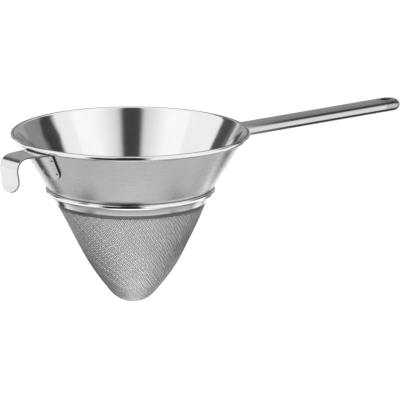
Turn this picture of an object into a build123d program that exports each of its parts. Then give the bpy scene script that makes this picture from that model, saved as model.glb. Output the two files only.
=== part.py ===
from build123d import *
import math
import os

# A conical bouillon strainer, all in stainless steel: a spun funnel with a wired rim, a bag of fine
# wire cloth crimped under it, a straight oval-tube handle and a bent sheet hook opposite the handle.
# The origin is the centre of the rim, Z points up and the handle runs along +X. All in millimetres.

# Funnel and rim
rim_diameter = 200.0
rim_wire_diameter = 2.8
rim_roll_sweep = 270.0
funnel_sheet = 0.7
funnel_half_angle = 31.2
funnel_tail_lap = 3.0

# Clamping ring
ring_sheet = 0.6
ring_bead_diameter = 4.2
ring_bead_rise = 1.6
ring_bead_stand_off = 1.2
skirt_drop = 6.3

# Bag of wire cloth
cloth_thickness = 0.3
cloth_edge_rise = 2.4
bag_break_depth = 49.0
bag_flank_angle = 25.7
bag_flank_drop = 45.0
bag_belly_radius = 185.0
bag_tip_radius = 24.5

# Handle
handle_width = 21.0
handle_height = 9.6
handle_wall = 1.0
handle_drop = 12.8
handle_length = 193.0
hanging_hole_diameter = 9.6
hanging_hole_inset = 13.0
hanging_hole_margin = 2.5
spigot_length = 6.0
weld_leg = 2.4
weld_chamfer = 1.5

# Hook
hook_sheet = 1.5
hook_root_bend_radius = 2.2
hook_overhang = 27.0
hook_bend_radius = 10.0
hook_bend_sweep = 102.0
hook_shank_length = 4.0
hook_curl_radius = 20.0
hook_curl_sweep = 32.0
hook_tip_length = 2.0
hook_root_width = 31.0
hook_leg_width = 23.5
hook_end_radius = 10.0
foot_depth = 27.0
foot_end_width = 21.0
foot_end_radius = 8.0
foot_sector = 60.0
spot_diameter = 1.5
spot_depth = 0.5
spot_inset = 2.7
spot_depths = [8.2, 20.9]

# Clearance left between pieces that are rolled, crimped or welded together, and a cutter's overrun
fit_gap = 0.03
overrun = 5.0

# Turn of each flat that stands for a round: on small beads, inside them, on the bag's belly and tip
bead_turn = 30.0
hidden_turn = 45.0
belly_turn = 6.0
tip_turn = 12.0

# Directions in the half section, which has the radius outward and Z upward
funnel_run = -90.0 - funnel_half_angle
funnel_back = 180.0 - funnel_half_angle
flank_run = -90.0 - bag_flank_angle
flank_back = 180.0 - bag_flank_angle
funnel_cos = math.cos(math.radians(funnel_half_angle))
flank_cos = math.cos(math.radians(bag_flank_angle))

# Depths under the rim that follow the bag's break
funnel_tail_depth = bag_break_depth + funnel_tail_lap
ring_bead_depth = bag_break_depth - ring_bead_rise
cloth_edge_depth = bag_break_depth - cloth_edge_rise

# The rolled rim, from the wire outward
rim_roll_inner = rim_wire_diameter / 2 + fit_gap
rim_roll_outer = rim_roll_inner + funnel_sheet
roll_centre = Vector(rim_diameter / 2 - rim_roll_outer, 0)


def heading(angle, length):
    """The vector of a given length at an angle in the half section."""
    return Vector(length * math.cos(math.radians(angle)), length * math.sin(math.radians(angle)))


def funnel_point(depth, stand_off):
    """The point of the half section at a depth under the rim and a distance outside the funnel."""
    axis_side = roll_centre.X - (rim_roll_inner - stand_off) / funnel_cos
    return Vector(axis_side - depth * math.tan(math.radians(funnel_half_angle)), -depth)


def turned(face, sweep=360.0):
    """Turns a face of the half section about the strainer's axis."""
    return revolve(Plane.XZ * face, Axis.Z, sweep)


def rounding(centre, radius, start, sweep, turn):
    """Points along an arc of the half section, one for about every turn of its sweep."""
    count = round(abs(sweep) / turn)
    return [centre + heading(start + sweep * i / count, radius) for i in range(count + 1)]


def outline(points):
    """The face inside a closed run of points."""
    return make_face(Polyline(*points, close=True))


def strip(one, other):
    """The face between two runs of points that lie side by side."""
    return outline(one + other[::-1])


def bent_sheet(one, other):
    """The face between two smooth lines that run side by side, closed by straight ends."""
    return make_face([one, Line(one @ 1, other @ 1), other, Line(one @ 0, other @ 0)])


def inner_region(points):
    """The face between the strainer's axis and a run of points from top to bottom."""
    return outline([Vector(0, points[0].Y), *points, Vector(0, points[-1].Y)])


def funnel():
    """The spun cone. Its upper edge is rolled outward round the rim wire, its tail hangs in the bag."""

    def surface(radius, turn):
        roll = rounding(roll_centre, radius, funnel_back, -rim_roll_sweep, turn)
        length = (roll[0].Y + funnel_tail_depth) / funnel_cos
        return [roll[0] + heading(funnel_run, length), *roll]

    return turned(strip(surface(rim_roll_inner, hidden_turn), surface(rim_roll_outer, bead_turn)))


def rim_wire():
    """The wire that stiffens the rolled rim. The roll hides it, so its round is drawn in flats."""
    points = rounding(roll_centre, rim_wire_diameter / 2, funnel_back, -360.0, hidden_turn)
    return turned(outline(points[1:]))


# The bag's outer face leaves the funnel's slope at this corner
cloth_stand_off = fit_gap + cloth_thickness
bag_corner = funnel_point(bag_break_depth, cloth_stand_off)
corner_turn = funnel_half_angle - bag_flank_angle
corner_face = -(funnel_half_angle + bag_flank_angle) / 2
corner_stretch = 1 / math.cos(math.radians(corner_turn / 2))


def beside_corner(distance):
    """The bag's corner, moved outward so that both of its lines move by the distance."""
    return bag_corner + heading(corner_face, distance * corner_stretch)


def mesh_bag():
    """The bag of wire cloth: an edge laid on the funnel, a straight flank, a full belly, a round tip."""
    shoulder = bag_corner + heading(flank_run, bag_flank_drop / flank_cos)
    belly_centre = shoulder + heading(flank_back, bag_belly_radius)
    centre_distance = bag_belly_radius - bag_tip_radius
    tip_centre = Vector(0, belly_centre.Y - math.sqrt(centre_distance**2 - belly_centre.X**2))
    tip_start = -math.degrees(math.acos(-belly_centre.X / centre_distance))
    belly_sweep = tip_start + bag_flank_angle

    def surface(inset):
        edge = funnel_point(cloth_edge_depth, cloth_stand_off - inset)
        belly = rounding(belly_centre, bag_belly_radius - inset, -bag_flank_angle, belly_sweep, belly_turn)
        tip = rounding(tip_centre, bag_tip_radius - inset, tip_start, -90.0 - tip_start, tip_turn)
        return [edge, beside_corner(-inset), *belly, *tip[1:]]

    return turned(strip(surface(0), surface(cloth_thickness)))


def clamp_ring():
    """The ring crimped over the bag's edge: a half-round bead and a tapered skirt down the bag."""
    bead_radius = ring_bead_diameter / 2
    bead_centre = funnel_point(ring_bead_depth, ring_bead_stand_off)
    bead_outside = rounding(bead_centre, bead_radius, funnel_back, 360.0, bead_turn)
    bead_inside = rounding(bead_centre, bead_radius - ring_sheet, funnel_back, 360.0, hidden_turn)
    bead = outline(bead_outside[1:]) - outline(bead_inside[1:])
    neck_depth = ring_bead_stand_off - cloth_stand_off - fit_gap - ring_sheet / 2
    neck_run = math.sqrt((bead_radius - ring_sheet / 2) ** 2 - neck_depth**2)
    skirt_length = skirt_drop / flank_cos

    def skirt_line(stand_off):
        neck = bead_centre + heading(funnel_back, ring_bead_stand_off - cloth_stand_off - stand_off)
        corner = beside_corner(stand_off)
        return [neck + heading(funnel_run, neck_run), corner, corner + heading(flank_run, skirt_length)]

    skirt = strip(skirt_line(fit_gap), skirt_line(fit_gap + ring_sheet))
    clearance = [
        funnel_point(0, fit_gap),
        funnel_point(cloth_edge_depth - fit_gap, fit_gap),
        funnel_point(cloth_edge_depth - fit_gap, cloth_stand_off + fit_gap),
        *skirt_line(fit_gap)[1:],
    ]
    return turned(bead + skirt - inner_region(clearance))


# The tube ends before the hanging hole, the end plug carries the hole and rounds the handle off
handle_reach = rim_diameter / 2 + handle_length
hanging_hole_place = handle_reach - hanging_hole_inset
handle_joint = hanging_hole_place - hanging_hole_diameter / 2 - hanging_hole_margin
round_end_place = handle_reach - handle_width / 2


def oval(inset):
    """The handle's flat-oval section, drawn inside its outer face by an inset."""
    return SlotOverall(handle_width - 2 * inset, handle_height - 2 * inset)


def handle_bar(inset, start, end):
    """A straight oval bar between two distances from the strainer's axis."""
    return Pos(start, 0, -handle_drop) * extrude(Plane.YZ * oval(inset), end - start)


def funnel_block(stand_off):
    """A solid cone that fills the funnel out to a distance outside its wall."""
    return turned(inner_region([funnel_point(0, stand_off), funnel_point(funnel_tail_depth, stand_off)]))


def handle_tube():
    """The oval tube. Its root is cut to the funnel's wall."""
    tube = handle_bar(0, 0, handle_joint) - handle_bar(handle_wall, 0, handle_joint)
    return tube - funnel_block(fit_gap)


def handle_end_cap():
    """The solid end plug: a spigot in the tube, the hanging hole and a rounded end, ground flush."""
    body = handle_bar(0, handle_joint, round_end_place)
    round_end = Pos(round_end_place, 0, -handle_drop) * turned(split(oval(0), Plane.YZ))
    body += split(round_end, Plane.YZ.offset(round_end_place))
    body += handle_bar(handle_wall + fit_gap, handle_joint - spigot_length, handle_joint)
    return body - Pos(hanging_hole_place, 0, -handle_drop) * Cylinder(hanging_hole_diameter / 2, handle_width)


def handle_weld():
    """The fillet of weld that runs round the tube's root on the funnel's wall."""
    collar = handle_bar(-weld_leg, 0, handle_joint)
    bead = collar & (funnel_block(fit_gap + weld_leg) - funnel_block(fit_gap))
    front = bead.faces().filter_by(GeomType.CONE).sort_by(Axis.X)[-1]
    return chamfer(front.edges(), weld_chamfer) - handle_bar(-fit_gap, 0, handle_joint)


def support_hook():
    """The bent sheet hook: a foot spot-welded to the cone, a flat under the rim and a leg that hangs."""
    half_sheet = hook_sheet / 2
    flat_height = -(rim_roll_outer + fit_gap + half_sheet)
    flat_top = flat_height + half_sheet
    bend_height = flat_height - hook_root_bend_radius
    bend_centre = funnel_point(-bend_height, fit_gap + half_sheet + hook_root_bend_radius)
    hook_reach = rim_diameter / 2 + hook_overhang
    bend_start = hook_reach - hook_bend_radius

    def root_line(offset):
        bend = CenterArc(bend_centre, hook_root_bend_radius + offset, 90.0, funnel_back - 90.0)
        flat = Line(Vector(rim_diameter / 2, flat_height + offset), bend @ 0)
        foot = Line(bend @ 1, bend @ 1 + heading(funnel_run, (foot_depth + (bend @ 1).Y) / funnel_cos))
        return Wire([flat, bend, foot])

    def leg_line(offset):
        flat = Line(Vector(roll_centre.X, flat_height + offset), Vector(bend_start, flat_height + offset))
        bend = JernArc(flat @ 1, flat % 1, hook_bend_radius + offset, -hook_bend_sweep)
        shank = Line(bend @ 1, bend @ 1 + bend % 1 * hook_shank_length)
        curl = JernArc(shank @ 1, shank % 1, hook_curl_radius - offset, hook_curl_sweep)
        tip = Line(curl @ 1, curl @ 1 + curl % 1 * hook_tip_length)
        return Wire([flat, bend, shank, curl, tip])

    # The foot and the flat's root follow the cone, cut to a tapered tongue with a rounded end
    root_sheet = turned(bent_sheet(root_line(-half_sheet), root_line(half_sheet)), foot_sector)
    tongue_corners = [
        (-foot_end_width / 2, -foot_depth),
        (foot_end_width / 2, -foot_depth),
        (hook_root_width / 2, flat_top),
        (-hook_root_width / 2, flat_top),
    ]
    tongue = make_face(Polyline(*tongue_corners, close=True))
    tongue = fillet(tongue.vertices().group_by(Axis.Y)[0], foot_end_radius)
    root = Rot(0, 0, -foot_sector / 2) * root_sheet & extrude(Plane.YZ * tongue, hook_reach)

    # The flat narrows to the leg in plan, and the leg's end is rounded in front view
    leg_sheet = bent_sheet(leg_line(-half_sheet), leg_line(half_sheet))
    leg_end = (leg_line(0) @ 1).Y
    plan_corners = [
        (roll_centre.X, -hook_root_width / 2),
        (bend_start, -hook_leg_width / 2),
        (hook_reach + overrun, -hook_leg_width / 2),
        (hook_reach + overrun, hook_leg_width / 2),
        (bend_start, hook_leg_width / 2),
        (roll_centre.X, hook_root_width / 2),
    ]
    plan = make_face(Polyline(*plan_corners, close=True))
    front = Pos(0, leg_end / 2) * Rectangle(hook_leg_width, -leg_end)
    front = fillet(front.vertices().group_by(Axis.Y)[0], hook_end_radius)
    front += Pos(0, bend_height / 2) * Rectangle(hook_root_width, -bend_height)
    leg = extrude(Plane.XZ * leg_sheet, hook_root_width, both=True)
    leg &= Pos(0, 0, leg_end) * extrude(plan, -leg_end)
    leg &= extrude(Plane.YZ * front, hook_reach + overrun)

    # Spot welds leave small dimples near the foot's edges
    hook = root + leg
    inward = heading(funnel_back, 1)
    dimple = Pos(0, 0, spot_depth / 2) * Cone(spot_diameter / 2, 0, spot_depth)
    for depth in spot_depths:
        share = (depth + flat_top) / (foot_depth + flat_top)
        half_width = (hook_root_width + (foot_end_width - hook_root_width) * share) / 2
        place = funnel_point(depth, fit_gap + hook_sheet)
        turn = math.degrees(math.asin((half_width - spot_inset) / place.X))
        spot = Plane((place.X, 0, place.Y), z_dir=(inward.X, 0, inward.Y)) * dimple
        hook -= Rot(0, 0, turn) * spot
        hook -= Rot(0, 0, -turn) * spot
    return Rot(0, 0, 180) * hook


os.makedirs("parts", exist_ok=True)
makers = [
    funnel,
    rim_wire,
    clamp_ring,
    mesh_bag,
    handle_tube,
    handle_end_cap,
    handle_weld,
    support_hook,
]
for maker in makers:
    export_step(maker(), f"parts/{maker.__name__}.step")
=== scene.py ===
import math

import bmesh
import bpy
from mathutils import Matrix, Vector, noise


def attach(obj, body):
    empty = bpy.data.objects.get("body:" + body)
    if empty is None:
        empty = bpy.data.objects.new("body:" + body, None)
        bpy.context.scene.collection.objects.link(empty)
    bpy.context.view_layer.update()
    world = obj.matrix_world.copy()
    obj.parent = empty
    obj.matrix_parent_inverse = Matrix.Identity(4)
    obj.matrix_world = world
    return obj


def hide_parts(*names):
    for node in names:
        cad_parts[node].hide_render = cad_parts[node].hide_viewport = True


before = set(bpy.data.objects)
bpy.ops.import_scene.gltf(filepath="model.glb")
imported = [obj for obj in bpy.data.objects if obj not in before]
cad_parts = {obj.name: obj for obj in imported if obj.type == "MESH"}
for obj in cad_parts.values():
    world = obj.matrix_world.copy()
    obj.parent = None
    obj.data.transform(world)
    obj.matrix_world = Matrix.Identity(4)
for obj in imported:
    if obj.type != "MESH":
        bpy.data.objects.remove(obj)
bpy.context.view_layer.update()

# Camera. A long lens five metres away and a little above the rim, turned so that the handle runs
# off to the right and away from it.
MM = 0.001
camera_distance = 5.0
camera_lens = 538.5
camera_turn = math.radians(-38.9)
camera_rise = math.radians(12.98)
camera_roll = math.radians(0.02)
camera_target = Vector((45.03, -36.52, -56.76)) * MM


def away(turn, rise):
    """The direction out of the strainer at an angle from the front and a rise above level."""
    return Vector((math.sin(turn) * math.cos(rise), -math.cos(turn) * math.cos(rise), math.sin(rise)))


camera = bpy.data.objects.new("camera", bpy.data.cameras.new("camera"))
bpy.context.scene.collection.objects.link(camera)
bpy.context.scene.camera = camera
camera.data.lens = camera_lens
camera.data.sensor_width = 36
camera.data.clip_end = 60
camera.rotation_mode = "QUATERNION"
camera.location = camera_target + away(camera_turn, camera_rise) * camera_distance
facing = (-away(camera_turn, camera_rise)).to_track_quat("-Z", "Y")
camera.rotation_quaternion = facing @ Matrix.Rotation(camera_roll, 3, "Z").to_quaternion()

# Funnel. Thin steel sheet spun to a cone, its upper edge rolled outward round a wire. It is polished
# inside and over the rim, and outside it keeps the fine rings of the satin finish.
funnel_lean = math.radians(31.2)
funnel_sheet = 0.7 * MM
funnel_tail = 52 * MM
rim_radius = 100 * MM
wire_radius = 1.4 * MM
fit_gap = 0.03 * MM
merge_gap = 0.002 * MM
ring_top = 45.4 * MM
wall_shares = (1, 0.93, 0.9, 0.87, 0.84, 0.7, 0.5, 0.3, 0.1, 0.02)
roll_turn = math.radians(270)
roll_inside = wire_radius + fit_gap
roll_centre = Vector((rim_radius - roll_inside - funnel_sheet, 0, 0))


def funnel_point(depth, stand_off):
    """The point of the half section at a depth under the rim and a distance outside the funnel."""
    across = roll_centre.x - (roll_inside - stand_off) / math.cos(funnel_lean)
    return Vector((across - depth * math.tan(funnel_lean), 0, -depth))


def heading(angle, length):
    """A step in the half section, at an angle counted up from straight outward."""
    return Vector((math.cos(angle), 0, math.sin(angle))) * length


def run(bm, points, start=None):
    """Draws straight edges of a section through the points and returns the last one."""
    last = start
    for point in points:
        new = bm.verts.new(point)
        if last:
            bm.edges.new((last, new))
        last = new
    return last


def points_in(parts):
    """The points among the parts that an operator hands back."""
    return [part for part in parts if isinstance(part, bmesh.types.BMVert)]


def arc(bm, start, centre, sweep, steps):
    """Draws an arc of a section on from a point and returns its last point. It turns clockwise."""
    made = bmesh.ops.spin(bm, geom=[start], cent=centre, axis=(0, 1, 0), angle=sweep, steps=steps)
    return points_in(made["geom_last"])[0]


def outward(bm):
    """Merges doubled points and turns all faces outward."""
    bmesh.ops.remove_doubles(bm, verts=bm.verts[:], dist=merge_gap)
    bmesh.ops.recalc_face_normals(bm, faces=bm.faces[:])
    if bm.calc_volume(signed=True) < 0:
        bmesh.ops.reverse_faces(bm, faces=bm.faces[:])


def spun(bm, steps=240):
    """Spins the section once round the strainer's axis."""
    whole = bm.verts[:] + bm.edges[:]
    upward = (0, 0, 1)
    bmesh.ops.spin(bm, geom=whole, axis=upward, angle=math.tau, steps=steps, use_merge=True)
    outward(bm)


def piece(name, bm, node, materials, crease=35):
    """Makes the mesh a piece of the strainer that stands for a solid. Folds past the crease, in
    degrees, look sharp."""
    mesh = bpy.data.meshes.new(name)
    bm.to_mesh(mesh)
    bm.free()
    mesh.shade_smooth()
    mesh.set_sharp_from_angle(angle=math.radians(crease))
    made = bpy.data.objects.new(name, mesh)
    bpy.context.scene.collection.objects.link(made)
    for material in materials:
        mesh.materials.append(material)
    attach(made, "root")
    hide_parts(node)
    return made


# Near-black tone for painted shade, and for the dark marks of the hook's spot welds.
shade_and_weld_mark_tone = (0.03, 0.029, 0.028, 1)
patch_stretch = (60, 60, 12)


def steel(name, tone, roughness, stretch, depth, drift=0.05, uneven=0.25):
    """A steel finish. The stretch says how often its fine lines come along X, Y and Z, in a metre,
    the depth how deep they are, drift how far the tone wanders and uneven how far the gloss does.
    Where the mesh is marked, a near-black tone covers the steel's: painted shade in gaps and creases, and
    on the hook also the dark marks of its spot welds."""
    material = bpy.data.materials.new(name)
    material.use_nodes = True
    nodes, links = material.node_tree.nodes, material.node_tree.links
    shader = nodes["Principled BSDF"]
    shader.inputs["Metallic"].default_value = 1
    place = nodes.new("ShaderNodeTexCoord")
    drawn_out = nodes.new("ShaderNodeMapping")
    drawn_out.inputs["Scale"].default_value = stretch
    links.new(place.outputs["Object"], drawn_out.inputs["Vector"])
    lines = nodes.new("ShaderNodeTexNoise")
    lines.inputs["Scale"].default_value = 1
    lines.inputs["Detail"].default_value = 3
    links.new(drawn_out.outputs["Vector"], lines.inputs["Vector"])
    upright = nodes.new("ShaderNodeMapping")
    upright.inputs["Scale"].default_value = patch_stretch
    links.new(place.outputs["Object"], upright.inputs["Vector"])
    patches = nodes.new("ShaderNodeTexNoise")
    patches.inputs["Scale"].default_value = 1
    patches.inputs["Detail"].default_value = 3
    links.new(upright.outputs["Vector"], patches.inputs["Vector"])
    tint = nodes.new("ShaderNodeMix")
    tint.data_type = "RGBA"
    tint.inputs["A"].default_value = [channel * (1 - drift) for channel in tone] + [1]
    tint.inputs["B"].default_value = [channel * (1 + drift) for channel in tone] + [1]
    links.new(patches.outputs["Fac"], tint.inputs["Factor"])
    # The mark paints shade into the base colour; on the hook it also carries the dark spot-weld marks.
    shade_and_weld_mark = nodes.new("ShaderNodeAttribute")
    shade_and_weld_mark.attribute_name = "shade_and_weld_mark"
    shade_mixed_tone = nodes.new("ShaderNodeMix")
    shade_mixed_tone.data_type = "RGBA"
    shade_mixed_tone.inputs["B"].default_value = shade_and_weld_mark_tone
    links.new(shade_and_weld_mark.outputs["Fac"], shade_mixed_tone.inputs["Factor"])
    links.new(tint.outputs["Result"], shade_mixed_tone.inputs["A"])
    links.new(shade_mixed_tone.outputs["Result"], shader.inputs["Base Color"])
    gloss = nodes.new("ShaderNodeMapRange")
    gloss.inputs["From Min"].default_value = 0.3
    gloss.inputs["From Max"].default_value = 0.7
    gloss.inputs["To Min"].default_value = roughness * (1 - uneven)
    gloss.inputs["To Max"].default_value = roughness * (1 + uneven)
    links.new(lines.outputs["Fac"], gloss.inputs["Value"])
    links.new(gloss.outputs["Result"], shader.inputs["Roughness"])
    scratches = nodes.new("ShaderNodeBump")
    scratches.inputs["Distance"].default_value = depth
    links.new(lines.outputs["Fac"], scratches.inputs["Height"])
    links.new(scratches.outputs["Normal"], shader.inputs["Normal"])
    return material


def paint_shade(bm, amount):
    """Marks how much shade is painted on the mesh, from 0 to 1, by a function of each point's half-section
    place.
    """
    shade_and_weld_mark = bm.verts.layers.float.new("shade_and_weld_mark")
    for vert in bm.verts:
        vert[shade_and_weld_mark] = amount(Vector((vert.co.xy.length, 0, vert.co.z)))


def fade(distance, reach):
    """A share that falls from 1 to 0 over a reach."""
    return max(0.0, 1 - abs(distance) / reach)


# Where shade is painted on the funnel: round the roll and just above the ring.
roll_reach = 1.6 * (roll_inside + funnel_sheet)
under_roll = -78
under_spread = 60
over_roll = 88
over_spread = 34
over_roll_shade = 0.9
over_ring = 1.2 * MM
over_ring_shade = 0.8


def funnel_painted_shade(point):
    """Painted shade under the rolled rim and a painted dark line along its top, by the angle round the
    roll, and painted shade on the wall just over the ring.
    """
    if (point - roll_centre).length < roll_reach:
        turn = math.degrees(math.atan2(point.z - roll_centre.z, point.x - roll_centre.x))
        over = over_roll_shade * fade(turn - over_roll, over_spread)
        return max(fade(turn - under_roll, under_spread), over)
    return over_ring_shade * fade(point.z + ring_top, over_ring)


satin_rings = steel("satin_rings", (0.69, 0.71, 0.72), 0.26, (7, 7, 2600), 0.02 * MM, drift=0.1)
polished_inside = steel("polished_inside", (0.84, 0.84, 0.84), 0.1, (9, 9, 1500), 0.009 * MM)
bm = bmesh.new()
wall = [funnel_point(funnel_tail * share, 0) for share in wall_shares]
roll_start = roll_centre + heading(math.pi - funnel_lean, roll_inside)
arc(bm, run(bm, [*wall, roll_start]), roll_centre, roll_turn, 24)
spun(bm)
inner = bmesh.ops.solidify(bm, geom=bm.faces[:], thickness=funnel_sheet)
for part in inner["geom"]:
    if isinstance(part, bmesh.types.BMFace):
        part.material_index = 1
# Paints shade under and over the roll and just above the ring into the base colour.
paint_shade(bm, funnel_painted_shade)
piece("funnel_sheet", bm, "funnel", [satin_rings, polished_inside])

# Rim wire. A ring of drawn steel wire closed in by the roll, out of sight. Its solid stays as it
# is and gets the finish of drawn wire.
drawn_wire = steel("drawn_wire", (0.6, 0.6, 0.61), 0.3, (400, 400, 2000), 0.01 * MM)
rim_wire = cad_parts["rim_wire"]
for place in range(len(rim_wire.data.materials)):
    rim_wire.data.materials[place] = drawn_wire

# Clamping ring. A strip of bright sheet pressed to a half-round bead and a tapered skirt, crimped
# over the top edge of the bag so that it grips the funnel.
ring_sheet = 0.6 * MM
bead_radius = 2.1 * MM
bead_stand_off = 1.2 * MM
bead_depth = 47.4 * MM
bag_break = 49 * MM
cloth = 0.3 * MM
cloth_edge = 46.6 * MM
skirt_drop = 6.3 * MM
lip_round = 0.2 * MM
neck_round = 0.3 * MM
# Painted shade in the crease where the bead turns into the skirt.
neck_shade = 0.85
neck_shade_reach = 0.6 * MM
near = 0.01 * MM
flank_lean = math.radians(25.7)
cloth_stand_off = fit_gap + cloth
bag_corner = funnel_point(bag_break, cloth_stand_off)
flank_run = -math.pi / 2 - flank_lean


def beside_corner(distance):
    """The bag's corner, moved outward so that both of its lines move by the distance."""
    half_turn = (funnel_lean - flank_lean) / 2
    return bag_corner + heading(-(funnel_lean + flank_lean) / 2, distance / math.cos(half_turn))


def rings_at(bm, points):
    """The edges that run round the strainer through points of the section."""
    found = []
    for edge in bm.edges:
        a, b = [Vector((vert.co.xy.length, 0, vert.co.z)) for vert in edge.verts]
        if (a - b).length < near and any((a - point).length < 2 * near for point in points):
            found.append(edge)
    return found


def round_off(bm, edges, size, segments):
    """Rounds off edges to a size."""
    bmesh.ops.bevel(
        bm, geom=edges, offset=size, segments=segments, profile=0.5, affect="EDGES", material=-1
    )


bright_bead = steel("bright_bead", (0.86, 0.87, 0.88), 0.09, (12, 12, 1400), 0.004 * MM)
bm = bmesh.new()
bead_centre = funnel_point(bead_depth, bead_stand_off)
bead_top = math.pi - funnel_lean - math.acos((bead_stand_off - fit_gap) / bead_radius)
skirt_stand_off = cloth_stand_off + fit_gap + ring_sheet
bead_foot = math.pi - funnel_lean + math.acos((bead_stand_off - skirt_stand_off) / bead_radius) - math.tau
skirt = heading(flank_run, skirt_drop / math.cos(flank_lean))
lip = [beside_corner(fit_gap + ring_sheet) + skirt, beside_corner(fit_gap) + skirt]
first = run(bm, [bead_centre + heading(bead_top, bead_radius)])
neck = arc(bm, first, bead_centre, bead_top - bead_foot, 28)
neck_place = neck.co.copy()
behind = [
    beside_corner(fit_gap),
    funnel_point(cloth_edge, cloth_stand_off + fit_gap),
    funnel_point(cloth_edge, fit_gap),
]
bm.edges.new((run(bm, [beside_corner(fit_gap + ring_sheet), *lip, *behind], neck), first))
spun(bm)
round_off(bm, rings_at(bm, lip), lip_round, 3)
round_off(bm, rings_at(bm, [neck_place]), neck_round, 3)
# Paints shade into the crease between the bead and the skirt.
paint_shade(bm, lambda point: neck_shade * fade((point - neck_place).length, neck_shade_reach))
piece("crimped_ring", bm, "clamp_ring", [bright_bead], 12)

# Bag. Plain-woven steel wire cloth, rolled up from half a disc and pressed to a cone with a full
# belly and a blunt round tip. Its hem of closed cloth lies on the funnel, under the ring's skirt.
flank_drop = 45 * MM
belly_radius = 185 * MM
tip_radius = 24.5 * MM
shoulder = bag_corner + heading(flank_run, flank_drop / math.cos(flank_lean))
belly_centre = shoulder + heading(math.pi - flank_lean, belly_radius)
tip_turn = -math.acos(-belly_centre.x / (belly_radius - tip_radius))
tip_centre = Vector((0, 0, belly_centre.z + (belly_radius - tip_radius) * math.sin(tip_turn)))
tip_length = tip_radius * (tip_turn + math.pi / 2)
belly_length = belly_radius * (-flank_lean - tip_turn)
wire_count = 100
pitch = 1.35 * MM
weave_wire = 0.25 * MM
weave_wave = 0.17 * MM
weave_top = -52.4 * MM
seam_turn = math.radians(110)
bag_lean = 1.9 * MM
lean_start = 55 * MM
lean_reach = 16 * MM
uneven_by = 0.5 * MM
uneven_reach = 20 * MM
uneven_spots = 40
hem_length = 12 * MM
hem_inset = 0.8 * MM
# The ring's shadow painted on the cloth: how dark, down to where, and over what reach it fades.
hem_shadow = 0.35
hem_shadow_end = 61.5 * MM
hem_shadow_reach = 1.6 * MM


def bag_section(length, inset):
    """The point of the bag's section at a length up from its tip, and a depth under its surface."""
    if length < tip_length:
        return tip_centre + heading(length / tip_radius - math.pi / 2, tip_radius - inset)
    if length < tip_length + belly_length:
        return belly_centre + heading(tip_turn + (length - tip_length) / belly_radius, belly_radius - inset)
    up = heading(math.pi / 2 - flank_lean, length - tip_length - belly_length)
    return shoulder + up - heading(-flank_lean, inset)


def bag_length(reach):
    """The length up the bag at which the cloth, laid flat, is a reach from the tip. It is found by
    halving a range that holds it."""
    low, high = 0.0, 200 * MM
    for _ in range(40):
        middle = (low + high) / 2
        if 2 * bag_section(middle, 0).x * middle < reach * reach:
            low = middle
        else:
            high = middle
    return low


def handled(point):
    """Moves a point of the bag as use has done: it leans a little and is slightly uneven."""
    drop = max(0.0, -point.z - lean_start)
    side = away(camera_turn + math.pi / 2, 0) * bag_lean * (1 - math.exp(-drop / lean_reach))
    uneven = noise.noise(point * uneven_spots) * uneven_by * min(1.0, drop / uneven_reach)
    round_way = Vector((point.x, point.y, 0)).normalized()
    return point + side + round_way * uneven


def lies_along(edge):
    """Whether an edge of the flat cloth lies along the half disc's straight edge."""
    one, other = edge.verts
    return abs(one.co.x - other.co.x) > pitch / 2


def cloth_wires(name, along):
    """One of the cloth's two sets of wires: along the flat half disc's straight edge, or across."""
    bm = bmesh.new()
    bmesh.ops.create_grid(bm, x_segments=2 * wire_count - 1, y_segments=wire_count - 1, size=1)
    spread = ((wire_count - 0.5) * pitch, (wire_count - 1) / 2 * pitch, 1)
    bmesh.ops.scale(bm, vec=spread, verts=bm.verts[:])
    bmesh.ops.translate(bm, vec=(0, wire_count / 2 * pitch, 0), verts=bm.verts[:])
    dropped = [edge for edge in bm.edges if lies_along(edge) != along]
    bmesh.ops.delete(bm, geom=dropped, context="EDGES_FACES")
    if not along:
        foot = {round(vert.co.x / pitch * 2): vert for vert in bm.verts if vert.co.y < pitch}
        for place, vert in foot.items():
            if place > 0:
                bm.edges.new((vert, foot[-place]))
    beyond = []
    for vert in bm.verts:
        flat = vert.co.copy()
        length = bag_length(flat.length)
        parity = (round(flat.x / pitch - 0.5) + round(flat.y / pitch - 0.5)) % 2
        side = weave_wave if (parity == 0) == along else -weave_wave
        point = bag_section(length, weave_wire + weave_wave - side)
        if point.z > weave_top:
            beyond.append(vert)
        turn = 2 * math.atan2(flat.y, flat.x) + seam_turn
        vert.co = handled(Vector((point.x * math.cos(turn), point.x * math.sin(turn), point.z)))
    bmesh.ops.delete(bm, geom=beyond, context="VERTS")
    mesh = bpy.data.meshes.new(name)
    bm.to_mesh(mesh)
    bm.free()
    line = bpy.data.objects.new(name + "_line", mesh)
    bpy.context.scene.collection.objects.link(line)
    bpy.ops.object.select_all(action="DESELECT")
    bpy.context.view_layer.objects.active = line
    line.select_set(True)
    bpy.ops.object.convert(target="CURVE")
    line.data.bevel_depth = weave_wire
    line.data.bevel_resolution = 0
    line.data.use_fill_caps = True
    thick = line.evaluated_get(bpy.context.evaluated_depsgraph_get())
    bm = bmesh.new()
    bm.from_mesh(bpy.data.meshes.new_from_object(thick))
    bpy.data.objects.remove(line)
    return bm


def bag_painted_shadow(point):
    """Painted shadow of the ring on the cloth and its hem, close under the ring."""
    return hem_shadow * min(1.0, max(0.0, (point.z + hem_shadow_end) / hem_shadow_reach))


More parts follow.
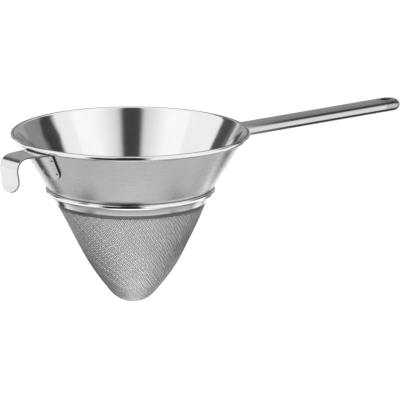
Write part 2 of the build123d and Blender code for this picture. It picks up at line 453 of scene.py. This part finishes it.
woven_wire = steel("woven_wire", (0.53, 0.54, 0.55), 0.36, (300, 300, 300), 0.01 * MM, drift=0.15)
for name, along in (("bag_wires_round", True), ("bag_wires_down", False)):
    wires = cloth_wires(name, along)
    # Paints the ring's shadow on the wires, close under the ring.
    paint_shade(wires, bag_painted_shadow)
    piece(name, wires, "mesh_bag", [woven_wire], 180)
bm = bmesh.new()
hem_end = bag_corner + heading(flank_run, hem_length) - heading(-flank_lean, hem_inset)
run(bm, [funnel_point(cloth_edge + fit_gap, cloth_stand_off), bag_corner, hem_end])
spun(bm, 120)
bmesh.ops.solidify(bm, geom=bm.faces[:], thickness=cloth)
# Paints the same shadow on the hem.
paint_shade(bm, bag_painted_shadow)
piece("bag_edge", bm, "mesh_bag", [woven_wire])

# Handle. A straight flat-oval tube, brushed along its length, its root cut to the funnel's wall.
handle_round = 4.8 * MM
handle_flat = 5.7 * MM
handle_drop = 12.8 * MM
handle_wall = 1 * MM
handle_joint = 272.7 * MM
joint_round = 0.15 * MM
sharp_fold = math.radians(57)


def oval(bm, x, radius, steps=64):
    """Draws the handle's flat-oval section, its ends rounded to a radius, at a place along X."""
    lay = Matrix.Translation((x, 0, -handle_drop)) @ Matrix.Rotation(math.pi / 2, 4, "Y")
    lay = lay @ Matrix.Rotation(math.pi / steps, 4, "Z")
    made = bmesh.ops.create_circle(bm, cap_ends=False, segments=steps, radius=radius, matrix=lay)
    for vert in made["verts"]:
        vert.co.y += math.copysign(handle_flat, vert.co.y)
    return made["verts"]


def at_wall(point, stand_off):
    """Moves a point along X to the funnel's wall, or a distance outside it."""
    wall = funnel_point(-point.z, stand_off).x
    return Vector((math.sqrt(wall * wall - point.y * point.y), point.y, point.z))


def at_joint(bm):
    """The edges round the handle's joint with its end plug that fold sharply."""
    found = []
    for edge in bm.edges:
        if all(abs(vert.co.x - handle_joint) < near for vert in edge.verts):
            if edge.calc_face_angle(0) > sharp_fold:
                found.append(edge)
    return found


brushed_handle = steel("brushed_handle", (0.66, 0.665, 0.67), 0.16, (6, 2400, 2400), 0.012 * MM)
bm = bmesh.new()
oval(bm, handle_joint, handle_round)
made = bmesh.ops.extrude_edge_only(bm, edges=bm.edges[:])
for vert in points_in(made["geom"]):
    vert.co = at_wall(vert.co, fit_gap)
outward(bm)
bmesh.ops.solidify(bm, geom=bm.faces[:], thickness=handle_wall)
round_off(bm, at_joint(bm), joint_round, 2)
piece("handle_tube_brushed", bm, "handle_tube", [brushed_handle], 12)

# End plug. A solid piece driven into the tube and ground flush, with the hanging hole drilled
# through its flats and its end rounded off.
plug_centre = 282.5 * MM
hole_place = 280 * MM
hole_radius = 4.8 * MM
hole_round = 0.5 * MM


def all_on(edge, axis, place):
    """Whether both ends of an edge lie at a place along an axis, 0 for X and 2 for Z."""
    return all(abs(vert.co[axis] - place) < near for vert in edge.verts)


plug_end = steel("plug_end", (0.5, 0.505, 0.51), 0.22, (9, 2000, 2000), 0.012 * MM)
bm = bmesh.new()
lift = Vector((plug_centre, 0, -handle_drop))
corner = run(bm, [lift + Vector((handle_flat, 0, handle_round))])
arc(bm, corner, lift + Vector((handle_flat, 0, 0)), math.pi, 20)
bmesh.ops.rotate(bm, cent=lift, matrix=Matrix.Rotation(-math.pi / 2, 3, "Z"), verts=bm.verts[:])
half = bm.verts[:] + bm.edges[:]
bmesh.ops.spin(bm, geom=half, cent=lift, axis=(0, 0, 1), angle=math.pi, steps=32)
bmesh.ops.remove_doubles(bm, verts=bm.verts[:], dist=merge_gap)
sides = [edge for edge in bm.edges if edge.is_boundary and all_on(edge, 0, plug_centre)]
made = bmesh.ops.extrude_edge_only(bm, edges=sides)
joint_run = (handle_joint - plug_centre, 0, 0)
bmesh.ops.translate(bm, vec=joint_run, verts=points_in(made["geom"]))
joint = [vert for vert in bm.verts if abs(vert.co.x - handle_joint) < near]
faces_at = (handle_round - handle_drop, -handle_round - handle_drop)
across = []
for height in faces_at:
    across.append(bm.edges.new([vert for vert in joint if abs(vert.co.z - height) < near]))
bmesh.ops.contextual_create(bm, geom=joint)
bmesh.ops.subdivide_edges(bm, edges=across, cuts=12)
for height in faces_at:
    level = [edge for edge in bm.edges if edge.is_boundary or not edge.link_faces]
    level = [edge for edge in level if all_on(edge, 2, height)]
    place = Matrix.Translation((hole_place, 0, height))
    hole = bmesh.ops.create_circle(bm, segments=len(level), radius=hole_radius, matrix=place)
    hole_edges = {edge for vert in hole["verts"] for edge in vert.link_edges}
    bmesh.ops.bridge_loops(bm, edges=level + list(hole_edges))
bore = [edge for edge in bm.edges if edge.is_boundary]
bmesh.ops.bridge_loops(bm, edges=bore)
outward(bm)
hole_centre = Vector((hole_place, 0))
hole_rim = []
for edge in bm.edges:
    a, b = [vert.co for vert in edge.verts]
    gaps = [abs((end.xy - hole_centre).length - hole_radius) for end in (a, b)]
    if max(gaps) < 2 * near and abs(a.z - b.z) < near:
        hole_rim.append(edge)
round_off(bm, hole_rim, hole_round, 3)
round_off(bm, at_joint(bm), joint_round, 2)
piece("handle_plug", bm, "handle_end_cap", [plug_end], 12)

# Weld. A fillet of weld metal laid all round the handle's root, where the tube meets the funnel's
# wall, and dressed smooth.
weld_leg = 2.4 * MM
dressed_weld = steel("dressed_weld", (0.5, 0.49, 0.48), 0.34, (700, 700, 700), 0.06 * MM, drift=0.16)
bm = bmesh.new()
loops = []
fillet_shares = [(0, 1), (0.25, 0.66), (0.5, 0.42), (0.72, 0.22), (1, 0), (0, 0)]
for lifted, spread in fillet_shares:
    ring = oval(bm, handle_joint, handle_round + spread * weld_leg)
    for vert in ring:
        vert.co = at_wall(vert.co, fit_gap + lifted * weld_leg)
    loops.append({edge for vert in ring for edge in vert.link_edges})
for one, other in zip(loops, loops[1:] + loops[:1]):
    bmesh.ops.bridge_loops(bm, edges=list(one) + list(other))
outward(bm)
piece("weld_fillet", bm, "handle_weld", [dressed_weld], 60)

# Hook. One strip of bright sheet: a tapered foot spot-welded to the cone, a bend to the flat that
# rests on a pot's rim, and a leg that turns down and curls out at its rounded end.
hook_sheet = 1.5 * MM
hook_flat = -(roll_inside + funnel_sheet + fit_gap + hook_sheet / 2)
root_bend = 2.2 * MM
foot_depth = 27 * MM
foot_width = 21 * MM
foot_round = 8 * MM
hook_width = 31 * MM
leg_width = 23.5 * MM
leg_round = 10 * MM
leg_bend = 10 * MM
leg_bend_start = 117 * MM
leg_bend_turn = math.radians(102)
leg_shank = 4 * MM
leg_curl = 20 * MM
leg_curl_turn = math.radians(32)
leg_tip = 2 * MM
spot_depths = [8.2 * MM, 20.9 * MM]
spot_inset = 2.7 * MM
spot_radius = 1.5 * MM
spot_dent = 0.25 * MM
spot_dirt = 1.8
# Painted shade along the foot's edges, where the foot stands off the wall.
edge_shade = 0.85
edge_share = 0.99
sheet_round = 0.3 * MM
columns = 60

bright_sheet = steel("bright_sheet", (0.78, 0.78, 0.79), 0.13, (60, 1500, 60), 0.006 * MM)
# The strip's cut edges are duller, rougher steel; their near-black tone is painted shade for the dark lines
# along the edges.
sheared_edge_shaded = steel("sheared_edge_shaded", (0.16, 0.16, 0.16), 0.45, (1500, 1500, 60), 0.02 * MM)
bm = bmesh.new()
half_sheet = hook_sheet / 2
flat_top = hook_flat + half_sheet
bend_centre = funnel_point(root_bend - hook_flat, fit_gap + half_sheet + root_bend)
foot_top = bend_centre + heading(math.pi - funnel_lean, root_bend + half_sheet)
foot_end = funnel_point(foot_depth, fit_gap)
foot_rows = 70
foot = run(bm, [foot_end.lerp(foot_top, (row / foot_rows) ** 1.3) for row in range(foot_rows + 1)])
shelf_start = arc(bm, foot, bend_centre, math.pi / 2 - funnel_lean, 10)
shelf_place = shelf_start.co.copy()
leg_start = Vector((leg_bend_start, 0, flat_top))
shelf_rows = 14
shelf_line = [shelf_place.lerp(leg_start, row / shelf_rows) for row in range(1, shelf_rows + 1)]
shelf = run(bm, shelf_line, shelf_start)
turned_down = arc(bm, shelf, leg_start - heading(math.pi / 2, leg_bend + half_sheet), leg_bend_turn, 32)
shank_start = turned_down.co.copy()
shank_end = shank_start + heading(-leg_bend_turn, leg_shank)
shank_rows = 4
shank_line = [shank_start.lerp(shank_end, row / shank_rows) for row in range(1, shank_rows + 1)]
shank = run(bm, shank_line, turned_down)
curl_centre = shank_end + heading(math.pi / 2 - leg_bend_turn, leg_curl - half_sheet)
curl = arc(bm, shank, curl_centre, -leg_curl_turn, 20)
tip = curl.co + heading(leg_curl_turn - leg_bend_turn, leg_tip)
tip_rows = 7
run(bm, [tip.lerp(curl.co, (row / tip_rows) ** 2) for row in range(tip_rows - 1, -1, -1)], curl)
strip = bm.edges[:]
for _ in range(columns):
    made = bmesh.ops.extrude_edge_only(bm, edges=strip)
    fresh = set(points_in(made["geom"]))
    bmesh.ops.translate(bm, vec=(0, 1 / columns, 0), verts=list(fresh))
    strip = [edge for edge in bm.edges if fresh.issuperset(edge.verts)]


def narrowed(half_width, radius, from_end):
    """A half width, narrowed towards the strip's rounded end."""
    if from_end >= radius:
        return half_width
    return half_width - radius + math.sqrt(radius**2 - (radius - max(0.0, from_end)) ** 2)


def between(start, end, low, high, place):
    """The value that goes with a place from low to high, as it runs from start to end."""
    share = min(1.0, max(0.0, (place - low) / (high - low)))
    return start + (end - start) * share


def pressed_in(point):
    """How far a point of the foot lies in the dent of a spot weld, from 0 at its edge to 1."""
    pressed = 0.0
    for depth in spot_depths:
        side = between(foot_width, hook_width, -foot_depth, flat_top, -depth) / 2 - spot_inset
        gap = math.hypot(abs(point.y) - side, (point.z + depth) / math.cos(funnel_lean))
        pressed = max(pressed, 1 - (gap / spot_radius) ** 2)
    return pressed


# The hook's mark holds the dark spot-weld marks and the painted shade along the foot's edges.
shade_and_weld_mark = bm.verts.layers.float.new("shade_and_weld_mark")
for vert in bm.verts:
    x, place, z = vert.co
    across = 2 * place - 1
    if x < shelf_place.x + near and z < flat_top - near:
        half_width = between(foot_width, hook_width, -foot_depth, flat_top, z) / 2
        y = across * narrowed(half_width, foot_round, z + foot_depth)
        vert.co = Vector((math.sqrt(x * x - y * y), y, z))
        pressed = pressed_in(vert.co)
        vert[shade_and_weld_mark] = min(1.0, spot_dirt * pressed)
        # Paints shade along the foot's edges.
        if abs(across) > edge_share:
            vert[shade_and_weld_mark] = max(vert[shade_and_weld_mark], edge_shade)
        vert.co += heading(math.pi - funnel_lean, pressed * spot_dent)
    else:
        half_width = between(hook_width, leg_width, roll_centre.x, leg_bend_start, x) / 2
        y = across * narrowed(half_width, leg_round, z - tip.z)
        if x < leg_bend_start:
            root_x = math.sqrt(shelf_place.x**2 - y * y)
            vert.co.x = between(root_x, leg_bend_start, shelf_place.x, leg_bend_start, x)
        vert.co.y = y
bmesh.ops.rotate(bm, cent=(0, 0, 0), matrix=Matrix.Rotation(math.pi, 3, "Z"), verts=bm.verts[:])
bmesh.ops.recalc_face_normals(bm, faces=bm.faces[:])
shelf_faces = [face for face in bm.faces if face.calc_center_median().z > flat_top - near]
if sum(face.normal.z for face in shelf_faces) < 0:
    bmesh.ops.reverse_faces(bm, faces=bm.faces[:])
bmesh.ops.solidify(bm, geom=bm.faces[:], thickness=hook_sheet)
# The strip's thickness faces take the cut-edge finish with its painted shade.
corners = [edge for edge in bm.edges if edge.calc_face_angle(0) > sharp_fold]
outline = {face for edge in corners for face in edge.link_faces}
for face in outline:
    if all(edge in corners or len(set(edge.link_faces) & outline) == 2 for edge in face.edges):
        face.material_index = 1
round_off(bm, corners, sheet_round, 2)
piece("hook_strip", bm, "support_hook", [bright_sheet, sheared_edge_shaded])

# Floor. A wide pale studio floor far below, so that the strainer hangs clear of it as it does in a
# cut-out picture. Seen from underneath it lets the view through.
floor_drop = 1.3
floor_half = 20
floor_glow = 0.15


def stage_piece(name, bm, material):
    """Makes the mesh a part of the studio."""
    mesh = bpy.data.meshes.new(name)
    bm.to_mesh(mesh)
    bm.free()
    mesh.materials.append(material)
    made = bpy.data.objects.new(name, mesh)
    bpy.context.scene.collection.objects.link(made)
    return made


pale_floor = bpy.data.materials.new("pale_floor")
pale_floor.use_nodes = True
nodes, links = pale_floor.node_tree.nodes, pale_floor.node_tree.links
paint = nodes["Principled BSDF"]
paint.inputs["Base Color"].default_value = (0.9, 0.9, 0.9, 1)
paint.inputs["Roughness"].default_value = 0.9
rays = nodes.new("ShaderNodeLightPath")
seen = nodes.new("ShaderNodeMath")
seen.operation = "ADD"
links.new(rays.outputs["Is Camera Ray"], seen.inputs[0])
links.new(rays.outputs["Is Glossy Ray"], seen.inputs[1])
seen_all = nodes.new("ShaderNodeMath")
seen_all.operation = "ADD"
links.new(seen.outputs["Value"], seen_all.inputs[0])
links.new(rays.outputs["Is Transmission Ray"], seen_all.inputs[1])
glow = nodes.new("ShaderNodeMath")
glow.operation = "MULTIPLY"
glow.inputs[1].default_value = floor_glow
links.new(seen_all.outputs["Value"], glow.inputs[0])
paint.inputs["Emission Color"].default_value = (1, 1, 1, 1)
links.new(glow.outputs["Value"], paint.inputs["Emission Strength"])
clear = nodes.new("ShaderNodeBsdfTransparent")
side = nodes.new("ShaderNodeNewGeometry")
through = nodes.new("ShaderNodeMixShader")
links.new(side.outputs["Backfacing"], through.inputs["Fac"])
links.new(paint.outputs["BSDF"], through.inputs[1])
links.new(clear.outputs["BSDF"], through.inputs[2])
links.new(through.outputs["Shader"], nodes["Material Output"].inputs["Surface"])
bm = bmesh.new()
floor_place = Matrix.Translation((0, 0, -floor_drop))
bmesh.ops.create_grid(bm, x_segments=1, y_segments=1, size=floor_half, matrix=floor_place)
stage_piece("floor", bm, pale_floor)

# Studio. White all round, with soft lamps to the left and right of the camera. Cards that only
# reflections see give the bright steel its dark bands, and one bright card lights up the bag.
close_sides = 0.15
close_ends = 0.2
stand_middle = 47 * MM
stand_half = 42 * MM
stand_drop = 165 * MM
collar_radius = 100 * MM
collar_half = 32 * MM
collar_drop = 142 * MM
long_middle = 550 * MM
long_half = 340 * MM
lamp_rise = math.radians(45)
lamp_distance = 2.6
lamp_width = 1.8
lamp_power = 1

world = bpy.data.worlds.new("studio_white")
bpy.context.scene.world = world
world.use_nodes = True
world.node_tree.nodes["Background"].inputs["Color"].default_value = (1, 1, 1, 1)
world.node_tree.nodes["Background"].inputs["Strength"].default_value = 1


def card(name, tone, soft_sides, soft_ends, cells, place):
    """A card that only reflections see. Its place function says where a point of it lies, counted
    from -1 to 1 across and up. It fades out over a share of its half width and half height."""
    material = bpy.data.materials.new(name)
    material.use_nodes = True
    nodes, links = material.node_tree.nodes, material.node_tree.links
    nodes.remove(nodes["Principled BSDF"])
    paint = nodes.new("ShaderNodeEmission")
    paint.inputs["Color"].default_value = (tone, tone, tone, 1)
    cover = nodes.new("ShaderNodeAttribute")
    cover.attribute_name = "cover"
    clear = nodes.new("ShaderNodeBsdfTransparent")
    edge = nodes.new("ShaderNodeMixShader")
    links.new(cover.outputs["Fac"], edge.inputs["Fac"])
    links.new(clear.outputs["BSDF"], edge.inputs[1])
    links.new(paint.outputs["Emission"], edge.inputs[2])
    links.new(edge.outputs["Shader"], nodes["Material Output"].inputs["Surface"])
    bm = bmesh.new()
    bmesh.ops.create_grid(bm, x_segments=cells[0], y_segments=cells[1], size=1)
    covers = bm.verts.layers.float.new("cover")
    for vert in bm.verts:
        across, up = vert.co.xy
        sides = min(1.0, (1 - abs(across)) / soft_sides) if soft_sides else 1.0
        ends = min(1.0, (1 - abs(up)) / soft_ends) if soft_ends else 1.0
        vert[covers] = sides * ends
        vert.co = place(across, up)
    shown = stage_piece(name, bm, material)
    shown.visible_camera = False
    shown.visible_diffuse = False
    shown.visible_transmission = False


def angle_at(ends, share):
    """The angle between two, in degrees, that goes with a share from -1 to 1."""
    return math.radians(ends[0] + (ends[1] - ends[0]) * (share + 1) / 2)


def far_card(name, turns, rises, tone, soft_sides=0.4, soft_ends=0.3, far=3.0):
    """A curved card round the strainer, its turns counted from the camera to the right."""

    def place(across, up):
        return away(camera_turn + angle_at(turns, across), angle_at(rises, up)) * far

    card(name, tone, soft_sides, soft_ends, (40, 20), place)


def stand_card(name, turns, tone):
    """A part of a round card close under the bag, its turns counted from the camera to the right."""

    def place(across, up):
        turned = away(camera_turn + angle_at(turns, across), 0)
        return turned * (stand_middle + stand_half * up) - Vector((0, 0, stand_drop))

    card(name, tone, close_sides, close_ends, (60, 4), place)


def collar_card(name, turns, tone):
    """An upright card close round the bag, its turns counted from the camera to the right."""

    def place(across, up):
        turned = away(camera_turn + angle_at(turns, across), 0)
        return turned * collar_radius + Vector((0, 0, collar_half * up - collar_drop))

    card(name, tone, close_sides, close_ends, (60, 6), place)


def handle_card(name, angles, tone, soft_ends=0.3, far=0.15):
    """A long card beside the handle. Its angles are counted up from straight in front of it."""

    def place(across, up):
        angle = angle_at(angles, up)
        beside = Vector((long_middle + long_half * across, 0, -handle_drop))
        return beside + Vector((0, -math.cos(angle), math.sin(angle))) * far

    card(name, tone, close_sides, soft_ends, (20, 20), place)


def soft_lamp(name, turn):
    """A square soft lamp that faces the strainer, its turn counted from the camera to the right."""
    lamp = bpy.data.objects.new(name, bpy.data.lights.new(name, "AREA"))
    bpy.context.scene.collection.objects.link(lamp)
    lamp.data.size = lamp_width
    lamp.data.energy = lamp_power
    direction = away(camera_turn + math.radians(turn), lamp_rise)
    lamp.location = direction * lamp_distance
    lamp.rotation_mode = "QUATERNION"
    lamp.rotation_quaternion = (-direction).to_track_quat("-Z", "Y")
    lamp.visible_camera = False


far_card("card_front", (-18.5, 16.5), (28, 80), 0.055, 0.35)
far_card("card_front_soft", (-50, 48), (28, 80), 0.45, 1, far=3.2)
far_card("card_right", (96, 127), (16, 38), 0.055)
far_card("card_near_right", (128, 153), (19.5, 35.5), 0.05, 0.15, 0.2, far=0.15)
far_card("card_right_low", (120, 160), (-14, 17), 0.4, 0.3, far=1.2)
far_card("card_right_under", (108, 144), (-54, -36), 0.5, 0.6, 0.4, far=1.2)
far_card("card_left", (-139.5, -116), (4, 46), 0.075, 0.12)
far_card("card_left_far", (-172, -145), (-9, 16), 0.06, 0.1)
far_card("card_left_high", (-150, -130), (34, 46), 0.055, 0.3)
far_card("card_left_low", (-151, -127), (-52, -24), 0.06, 0.6, 0.2, far=1.2)
far_card("card_behind", (130, 230), (-6, 52), 0.38)
far_card("card_below", (-180, 180), (-90, -36), 0.62, 0, far=1.25)
far_card("card_low_front", (-44, 22), (-54, 38), 0.02, 0.3, 0.2, far=1.1)
stand_card("stand_front", (-54, 62), 2.6)
stand_card("stand_right", (56, 170), 0.07)
stand_card("stand_left", (170, 312), 0.02)
collar_card("collar_right", (50, 180), 0.07)
collar_card("collar_left", (180, 316), 0.02)
handle_card("card_over_handle", (33, 102), 0.06, 0.5)
handle_card("card_above_handle", (60, 174), 0.28, far=0.16)
handle_card("card_under_handle", (-115, -38), 0.05)
soft_lamp("lamp_left", -50)
soft_lamp("lamp_right", 50)

bpy.context.scene.view_settings.view_transform = "Standard"
